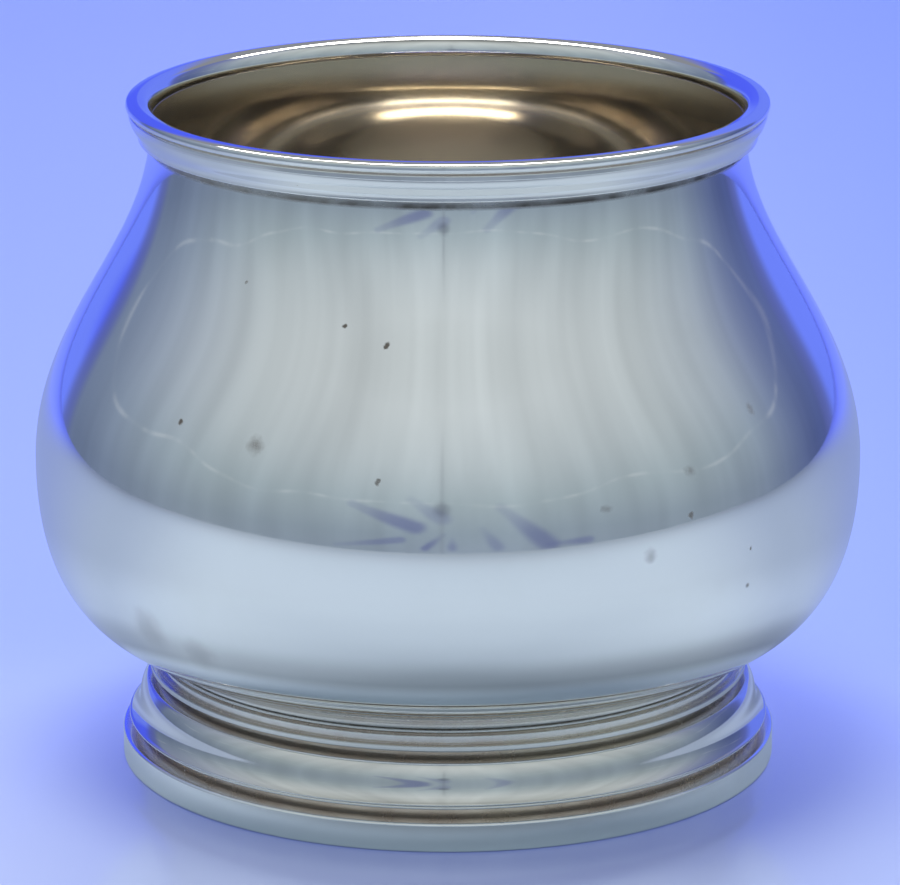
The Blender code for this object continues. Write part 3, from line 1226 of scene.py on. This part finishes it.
@dataclass
class Floor:
    """The pale floor. Mirrors see it greyer, with painted shade and light round the bowl, and only as far as
    the foot of the tent.

    Lengths are in metres. Depths run along Y, and facings from -1 in front of the bowl to 1 behind it.
    """

    half: float = 3.0
    far_colour: Colour = (0.295, 0.37, 0.48)
    near_colour: Colour = (0.44, 0.505, 0.60)
    far_glow: Colour = (0.0, 0.0, 0.42)
    near_glow: Colour = (0.0, 0.0, 0.14)
    near_depth: Span = (-0.055, 0.06)
    right_tint: Colour = (0.80, 0.84, 1.0)
    right_across: Span = (0.02, 0.11)
    mirrored_colour: Colour = (0.33, 0.39, 0.465)
    # Painted shadow: mirrors see the floor beside the bowl darker.
    mirrored_side_shade_colour: Colour = (0.225, 0.275, 0.375)
    side_facing: Span = (-0.65, 0.05)
    mirrored_behind_colour: Colour = (0.170, 0.215, 0.40)
    behind_facing: Span = (0.0, 0.8)
    mirrored_far_colour: Colour = (0.142, 0.195, 0.88)
    far_depth: Span = (0.15, 0.50)
    # Painted light and shade: mirrors see the floor brightened right at the foot, dimmed just beyond it, and
    # brightened again further out.
    mirrored_light_and_shade_rings: tuple[Ring, ...] = (
        Ring((0.048, 0.056), 1.72, 0.95), Ring((0.060, 0.074), 1.0, 1.28), Ring((0.082, 0.125), 1.0, 0.86),
    )
    roughness: float = 0.12
    specular: float = 0.5
    tent_front: float = 0.30
    tent_side: float = 0.50
    tent_flare: float = 0.21
    tent_shade: float = 0.66
    tent_shade_span: Span = (0.20, 1.0)

    def build(self) -> None:
        """Lays the floor."""
        half = self.half
        mesh = bpy.data.meshes.new("floor")
        corners = [(-half, -half, 0.0), (half, -half, 0.0), (half, half, 0.0), (-half, half, 0.0)]
        mesh.from_pydata(corners, [], [(0, 1, 2, 3)])
        floor = bpy.data.objects.new("floor", mesh)
        bpy.context.scene.collection.objects.link(floor)
        mesh.materials.append(self._material())

    def _material(self) -> bpy.types.Material:
        """A smooth pale floor that deepens away from the camera.

        Returns:
            The floor's material.
        """
        material = bpy.data.materials.new("pale_floor")
        material.use_nodes = True
        bench = NodeBench(material.node_tree)
        place = bench.add("NewGeometry").outputs["Position"]
        across, along, _ = bench.parts(place)
        rays = bench.add("LightPath")
        is_seen, is_mirrored = rays.outputs["Is Camera Ray"], rays.outputs["Is Glossy Ray"]
        edge = self._tent_foot(bench, across, along)

        near = bench.spread(along, self.near_depth, 1.0, 0.0)
        seen = bench.lay(near, self.far_colour, self.near_colour)
        seen = bench.lay(bench.spread(across, self.right_across), seen, self.right_tint, Blend.MULTIPLY)
        mirrored = self._mirrored(bench, place, along, edge)
        shader = bench.add("BsdfPrincipled")
        shader.inputs["Roughness"].default_value = self.roughness
        specular = bench.spread(is_mirrored, (0.0, 1.0), self.specular, 0.0)
        bench.feed(shader.inputs["Specular IOR Level"], specular)
        bench.feed(shader.inputs["Base Color"], bench.lay(is_mirrored, seen, mirrored))
        bench.feed(shader.inputs["Emission Color"], bench.lay(near, self.far_glow, self.near_glow))
        bench.feed(shader.inputs["Emission Strength"], is_seen)

        outside = bench.calc(Calc.GREATER, edge, 1.0)
        mixed = bench.add("MixShader")
        bench.feed(mixed.inputs[0], bench.times(outside, is_mirrored))
        bench.feed(mixed.inputs[1], shader.outputs["BSDF"])
        bench.feed(mixed.inputs[2], bench.add("BsdfTransparent").outputs["BSDF"])
        output = bench.add("OutputMaterial")
        bench.feed(output.inputs["Surface"], mixed.outputs[0])
        return material

    def _mirrored(self, bench: NodeBench, place: Socket, along: Socket, edge: Socket) -> Socket:
        """The floor's colour as mirrors see it, with painted shadow beside the bowl and painted light and shade
        in rings round it.

        Args:
            bench: The floor's bench.
            place: The place's socket.
            along: The place along Y.
            edge: How near the place is to the foot of the tent.

        Returns:
            The colour's socket.
        """
        away = bench.from_axis(place)
        facing = bench.calc(Calc.DIVIDE, along, away)
        # Painted shadow beside the bowl.
        aside = bench.spread(facing, self.side_facing)
        colour = bench.lay(aside, self.mirrored_colour, self.mirrored_side_shade_colour)
        colour = bench.lay(bench.spread(facing, self.behind_facing), colour, self.mirrored_behind_colour)
        colour = bench.lay(bench.spread(along, self.far_depth), colour, self.mirrored_far_colour)
        colour = bench.shade(colour, bench.spread(edge, self.tent_shade_span, 1.0, self.tent_shade))
        # Painted light and shade in rings round the bowl.
        for ring in self.mirrored_light_and_shade_rings:
            colour = bench.shade(colour, bench.spread(away, ring.radii, ring.inside, ring.outside))
        return colour

    def _tent_foot(self, bench: NodeBench, across: Socket, along: Socket) -> Socket:
        """How near a place is to the tent's foot: an oval in front, with sides that flare towards the back.

        Args:
            bench: The floor's bench.
            across: The place along X.
            along: The place along Y.

        Returns:
            A number that is 1 at the tent's foot and less inside.
        """
        behind = bench.calc(Calc.MAXIMUM, along, 0.0)
        wide = bench.calc(Calc.DIVIDE, across, bench.plus(self.tent_side, behind, self.tent_flare))
        deep = bench.calc(Calc.DIVIDE, bench.calc(Calc.MINIMUM, along, 0.0), self.tent_front)
        return bench.plus(bench.times(wide, wide), deep, deep)


@dataclass
class SoftBox:
    """A soft light overhead, which lights the floor and stays out of the mirrors. Lengths are in metres."""

    place: tuple[float, float, float] = (-0.13, -0.02, 0.95)
    size: float = 0.50
    power: float = 4.8

    def build(self) -> None:
        """Hangs the light, aimed at the bowl."""
        data = bpy.data.lights.new("soft_box", "AREA")
        data.shape = "DISK"
        data.size = self.size
        data.energy = self.power
        light = bpy.data.objects.new("soft_box", data)
        light.location = self.place
        light.rotation_euler = (-Vector(self.place)).to_track_quat("-Z", "Y").to_euler()
        light.visible_glossy = False
        light.visible_camera = False
        bpy.context.scene.collection.objects.link(light)


@dataclass(frozen=True)
class Gaze:
    """The direction that a mirror looks in: turned from the front, the same unsigned, and risen, in radians."""

    turn: Socket
    turned: Socket
    rise: Socket


@dataclass(frozen=True)
class Fold:
    """One shaded fold of the tent's cloth, from its thin start to its full end.

    Places and width are in degrees.
    """

    start: Point
    end: Point
    width: float
    strength: float
    thin_share: float = 0.45
    full_share: float = 0.85
    full_from: float = 0.9
    soft_span: Span = (0.3, 1.0)
    faint_share: float = 0.35
    dark_from: float = 0.8

    def shade(self, bench: NodeBench, place: Socket) -> Socket:
        """How dark the fold is at a place.

        Args:
            bench: The world's bench.
            place: The place as angles from the front and above level, in radians.

        Returns:
            The shade's socket, from 0 to 1.
        """
        start = Vector((math.radians(self.start[0]), math.radians(self.start[1]), 0.0))
        run = Vector((math.radians(self.end[0]), math.radians(self.end[1]), 0.0)) - start
        offset = bench.vector(VectorCalc.SUBTRACT, place, start)
        share = bench.vector(VectorCalc.DOT_PRODUCT, offset, run / run.length_squared)
        held = bench.calc(Calc.ADD, share, 0.0, clamp=True)
        foot = bench.vector(VectorCalc.SCALE, run, held)
        away = bench.vector(VectorCalc.DISTANCE, offset, foot)
        width = math.radians(self.width)
        taper = bench.spread(held, (0.0, self.full_from), self.thin_share * width, self.full_share * width)
        dark = bench.spread(bench.calc(Calc.DIVIDE, away, taper), self.soft_span, self.strength, 0.0)
        return bench.times(dark, bench.spread(held, (0.0, self.dark_from), self.faint_share, 1.0))


@dataclass(frozen=True)
class Pleats:
    """Soft pleats that hang down the cloth: how close they are, how they slant, and how strongly they shade."""

    scale: float
    drop: float
    dark: float
    light: float
    clouds: Clouds = Clouds(1.0, 1.0, 0.5, (0.28, 0.72))

    def shade(self, bench: NodeBench, gaze: Gaze) -> Socket:
        """How light the pleats are in a direction.

        Args:
            bench: The world's bench.
            gaze: The direction.

        Returns:
            The number to shade the cloth by.
        """
        hung = bench.joined(bench.times(gaze.turn, self.scale), bench.times(gaze.rise, self.drop))
        return bench.cloudy(hung, self.clouds, self.dark, self.light)


@dataclass
class Tent:
    """A pale cloth tent round the bowl, open at the back to a blue backdrop, with its light high behind.

    Angles are in degrees where their names say so, and else in radians.
    """

    cloth: tuple[tuple[float, Colour], ...] = (
        (-15.0, (0.24, 0.30, 0.40)), (-1.0, (0.26, 0.33, 0.41)), (13.0, (0.35, 0.43, 0.49)),
        (27.0, (0.46, 0.53, 0.58)), (41.0, (0.54, 0.60, 0.64)), (55.0, (0.48, 0.53, 0.55)),
        (66.0, (0.30, 0.33, 0.34)), (75.0, (0.28, 0.30, 0.30)),
    )
    side_tint: Colour = (0.52, 0.56, 0.78)
    side_deg: Span = (62.0, 138.0)
    right_tint: Colour = (0.55, 0.58, 0.95)
    right_turn: Span = (1.6, 2.3)
    bright_turn: float = 0.12
    bright_reach: Span = (0.0, 0.7)
    bright_shares: Span = (1.12, 0.97)
    pleats: tuple[Pleats, ...] = (Pleats(5.0, 0.8, 0.92, 1.06), Pleats(17.0, 1.6, 0.98, 1.02))
    background: Colour = (0.33, 0.43, 0.98)
    backdrop: Colour = (0.16, 0.24, 1.05)
    backdrop_left: Colour = (0.085, 0.13, 1.05)
    left_across: Span = (-0.12, 0.15)
    left_rise: Span = (0.04, 0.16)
    high_colour: Colour = (0.26, 0.28, 0.33)
    high_rise: Span = (0.42, 0.58)
    edge_deg: float = 134.5
    edge_blend_deg: Span = (-5.0, 4.0)
    edge_colour: Colour = (0.10, 0.125, 0.36)
    edge_half_deg: Span = (0.5, 7.0)
    edge_share: float = 0.7
    edge_rise: Span = (0.35, 0.6)
    light: float = 14.0
    light_tint: Colour = (1.0, 0.99, 0.95)
    light_rise_deg: float = 51.5
    light_half_deg: float = 5.4
    light_soft_deg: float = 1.2
    light_turn_deg: float = 56.0
    light_end: float = 0.1
    hem_deg: float = 12.5
    hem_half_deg: Span = (0.1, 0.8)
    hem_share: float = 0.16
    hem_wander: float = 0.30
    hem_clouds: Clouds = Clouds(1.7, 0.5)
    hem_wear: Clouds = Clouds(6.0, 2.0, 0.5, (0.42, 0.62))
    hem_least: float = 0.1
    hem_colour: Colour = (0.9, 0.95, 1.0)
    opening_deg: Point = (-1.5, 10.0)
    opening_half_deg: Span = (1.2, 4.6)
    opening_squeeze: float = 1.4
    opening_share: float = 0.42
    opening_colour: Colour = (0.05, 0.06, 0.11)
    seam_half_deg: Span = (0.15, 0.8)
    seam_rise_deg: Span = (8.0, 32.0)
    seam_share: float = 0.30
    seam_colour: Colour = (0.15, 0.17, 0.22)
    fold_colour: Colour = (0.10, 0.12, 0.32)
    folds: tuple[Fold, ...] = (
        Fold((-26.0, 10.8), (-8.5, 2.0), 4.8, 0.60),
        Fold((-10.0, 14.0), (-1.5, 6.0), 4.4, 0.34),
        Fold((-1.0, -1.0), (-6.0, -7.5), 2.0, 0.64),
        Fold((1.2, -3.0), (1.2, -7.5), 2.1, 0.50),
        Fold((9.3, 1.5), (13.4, -7.3), 3.0, 0.42),
        Fold((14.5, 10.5), (27.0, -7.0), 5.2, 0.56),
        Fold((27.0, -7.0), (38.0, -6.5), 2.6, 0.50),
        Fold((-30.0, -7.5), (-12.5, -3.8), 2.5, 0.46),
    )

    def build(self) -> None:
        """Makes the tent the scene's world."""
        world = bpy.data.worlds.new("tent")
        bpy.context.scene.world = world
        world.use_nodes = True
        bench = NodeBench(world.node_tree)
        across, along, up = bench.parts(bench.add("TexCoord").outputs["Generated"])
        turn = bench.calc(Calc.ARC_TANGENT, across, bench.times(along, -1.0))
        gaze = Gaze(turn, bench.calc(Calc.ABSOLUTE, turn), bench.calc(Calc.ARC_SINE, up))

        walls = self._cloth(bench, gaze)
        walls = self._opened(bench, gaze, across, walls)
        light = tuple(self.light * share for share in self.light_tint)
        sky = bench.lay(self._lit(bench, gaze), walls, light)
        rays = bench.add("LightPath")
        shown = bench.lay(rays.outputs["Is Camera Ray"], sky, self.background)
        background = bench.add("Background")
        bench.feed(background.inputs["Color"], shown)
        output = bench.add("OutputWorld")
        bench.feed(output.inputs["Surface"], background.outputs[0])

    def _opened(self, bench: NodeBench, gaze: Gaze, across: Socket, walls: Socket) -> Socket:
        """Opens the tent to the backdrop behind it, between two dark edges.

        Args:
            bench: The world's bench.
            gaze: The direction.
            across: The direction's part along X.
            walls: The cloth's colour.

        Returns:
            The walls' colour, with the opening.
        """
        leftward = bench.spread(across, self.left_across, 1.0, 0.0)
        deeper = bench.times(leftward, bench.spread(gaze.rise, self.left_rise))
        back = bench.lay(deeper, self.backdrop, self.backdrop_left)
        back = bench.lay(bench.spread(gaze.rise, self.high_rise), back, self.high_colour)
        before, after = self.edge_blend_deg
        behind = bench.turned(gaze.turned, (self.edge_deg + before, self.edge_deg + after))
        walls = bench.lay(behind, walls, back)
        from_edge = bench.apart(gaze.turned, math.radians(self.edge_deg))
        edge = bench.turned(from_edge, self.edge_half_deg, self.edge_share, 0.0)
        edge = bench.times(edge, bench.spread(gaze.rise, self.edge_rise, 1.0, 0.0))
        return bench.lay(edge, walls, self.edge_colour)

    def _lit(self, bench: NodeBench, gaze: Gaze) -> Socket:
        """Where the light is: a long, low window high behind the bowl.

        Args:
            bench: The world's bench.
            gaze: The direction.

        Returns:
            1 in the light and 0 outside it.
        """
        off_level = bench.apart(gaze.rise, math.radians(self.light_rise_deg))
        inner, outer = self.light_half_deg - self.light_soft_deg, self.light_half_deg + self.light_soft_deg
        level = bench.turned(off_level, (inner, outer), 1.0, 0.0)
        side = math.radians(180.0 - self.light_turn_deg)
        return bench.times(level, bench.spread(gaze.turned, (side - self.light_end, side + self.light_end)))

    def _cloth(self, bench: NodeBench, gaze: Gaze) -> Socket:
        """The tent's cloth: brighter higher up, darker at its sides, hung in soft folds.

        Args:
            bench: The world's bench.
            gaze: The direction.

        Returns:
            The cloth's colour.
        """
        low, high = self.cloth[0][0], self.cloth[-1][0]
        reach = high - low
        height = bench.calc(Calc.SUBTRACT, gaze.rise, math.radians(low))
        share = bench.calc(Calc.DIVIDE, height, math.radians(reach), clamp=True)
        cloth = bench.ramp(share, [((angle - low) / reach, colour) for angle, colour in self.cloth])
        aside = bench.turned(gaze.turned, self.side_deg)
        cloth = bench.lay(aside, cloth, self.side_tint, Blend.MULTIPLY)
        cloth = bench.lay(bench.spread(gaze.turn, self.right_turn), cloth, self.right_tint, Blend.MULTIPLY)
        from_bright = bench.apart(gaze.turn, self.bright_turn)
        cloth = bench.shade(cloth, bench.spread(from_bright, self.bright_reach, *self.bright_shares))
        for pleats in self.pleats:
            cloth = bench.shade(cloth, pleats.shade(bench, gaze))
        cloth = self._hemmed(bench, gaze, cloth)
        return self._gathered(bench, gaze, cloth)

    def _hemmed(self, bench: NodeBench, gaze: Gaze, cloth: Socket) -> Socket:
        """Runs a faint, wandering hem round the cloth.

        Args:
            bench: The world's bench.
            gaze: The direction.
            cloth: The cloth's colour so far.

        Returns:
            The hemmed cloth's colour.
        """
        along = bench.joined(gaze.turn)
        wander = bench.calc(Calc.SUBTRACT, bench.clouds(along, self.hem_clouds), 0.5)
        line = bench.plus(math.radians(self.hem_deg), wander, self.hem_wander)
        hem = bench.turned(bench.apart(gaze.rise, line), self.hem_half_deg, self.hem_share, 0.0)
        worn = bench.cloudy(along, self.hem_wear, self.hem_least, 1.0)
        return bench.lay(bench.times(hem, worn), cloth, self.hem_colour)

    def _gathered(self, bench: NodeBench, gaze: Gaze, cloth: Socket) -> Socket:
        """Folds the cloth round a small dark opening in front, with a seam above it.

        Args:
            bench: The world's bench.
            gaze: The direction.
            cloth: The cloth's colour so far.

        Returns:
            The gathered cloth's colour.
        """
        place = bench.joined(gaze.turn, gaze.rise)
        for fold in self.folds:
            cloth = bench.lay(fold.shade(bench, place), cloth, self.fold_colour)
        across = bench.calc(Calc.SUBTRACT, gaze.turn, math.radians(self.opening_deg[0]))
        above = bench.calc(Calc.SUBTRACT, gaze.rise, math.radians(self.opening_deg[1]))
        seam = bench.turned(bench.calc(Calc.ABSOLUTE, across), self.seam_half_deg, self.seam_share, 0.0)
        seam = bench.times(seam, bench.turned(above, self.seam_rise_deg, 1.0, 0.0))
        cloth = bench.lay(seam, cloth, self.seam_colour)
        wide = bench.times(across, self.opening_squeeze)
        away = bench.calc(Calc.POWER, bench.plus(bench.times(wide, wide), above, above), 0.5)
        hole = bench.turned(away, self.opening_half_deg, self.opening_share, 0.0)
        return bench.lay(hole, cloth, self.opening_colour)


def body_marks() -> tuple[Mark, ...]:
    """Places the largest pits and smudges on the body's outside.

    Returns:
        The marks, with their places in millimetres.
    """
    pit, smudge = MarkKind.PIT, MarkKind.SMUDGE
    return (
        Mark(pit, (-12.6, -41.9, 67.8), 0.45),
        Mark(pit, (-7.6, -44.1, 66.0), 0.45),
        Mark(pit, (-33.1, -38.4, 54.9), 0.55),
        Mark(pit, (-25.1, -33.6, 71.3), 0.35, 0.7),
        Mark(pit, (-8.5, -51.6, 50.8), 0.5, 0.8),
        Mark(smudge, (-23.6, -45.5, 53.7), 1.5, 0.6),
        Mark(smudge, (29.8, -43.4, 49.9), 1.1, 0.5),
        Mark(smudge, (19.3, -49.8, 46.9), 0.9, 0.45),
        Mark(pit, (30.0, -44.6, 44.6), 0.45, 0.8),
        Mark(smudge, (24.9, -47.9, 40.3), 1.2, 0.35),
        Mark(smudge, (37.6, -33.8, 55.2), 0.9, 0.45),
        Mark(pit, (37.8, -38.5, 38.7), 0.4, 0.8),
        Mark(smudge, (-37.4, -35.9, 27.1), 4.0, 0.28),
        Mark(smudge, (-30.9, -40.6, 25.3), 3.4, 0.22),
    )


def pieces() -> list[TurnedPiece]:
    """The bowl's pieces, from the top down.

    Returns:
        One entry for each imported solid.
    """
    rim = SilverFinish("rim_polish", (0.90, 0.88, 0.83), pits=0.3, haze=0.3)
    # The body's near-black tarnish and solder colours paint the shade in the gap under the rim's skirt, on top
    # of its tarnish.
    body = SilverFinish(
        "body_polish",
        tarnish_and_seam_shade_colour=(0.09, 0.08, 0.07),
        solder_and_seam_shade_colour=(0.30, 0.26, 0.21),
        marks=body_marks(),
    )
    gilt = GiltFinish("gilt_inside")
    # Painted shade: the collar and the ogee get a darker silver than the other pieces, as the foot lies in
    # shade under the belly.
    collar = SilverFinish("collar_shaded_polish", (0.69, 0.67, 0.62), pits=0.3, haze=0.45)
    ogee = SilverFinish("ogee_shaded_polish", (0.81, 0.79, 0.74), pits=0.6, haze=0.45)
    base = SilverFinish("base_polish", pits=0.5)
    return [
        RimMoulding("rim_moulding", "rim", "rim_silver", rim),
        BowlBody("bowl_shell", "bowl", "body_silver", body, wobble=0.04, inside_finish=gilt),
        FootCollar("foot_collar", "collar", "collar_silver", collar),
        FootOgee("foot_ogee", "ogee", "ogee_silver", ogee),
        BaseRim("base_rim", "base", "base_silver", base),
    ]


def main() -> None:
    """Builds the studio and the bowl, and reports each piece."""
    logging.basicConfig(level=logging.INFO, format="%(name)s: %(message)s")
    bpy.context.scene.view_settings.view_transform = "Standard"
    CameraStand().build()
    Floor().build()
    SoftBox().build()
    Tent().build()
    lathe = Lathe()
    for part in pieces():
        piece = part.build(lathe)
        LOG.info("%s stands for %s, with %d faces", piece.name, part.node, len(piece.data.polygons))


if __name__ == "__main__":
    main()
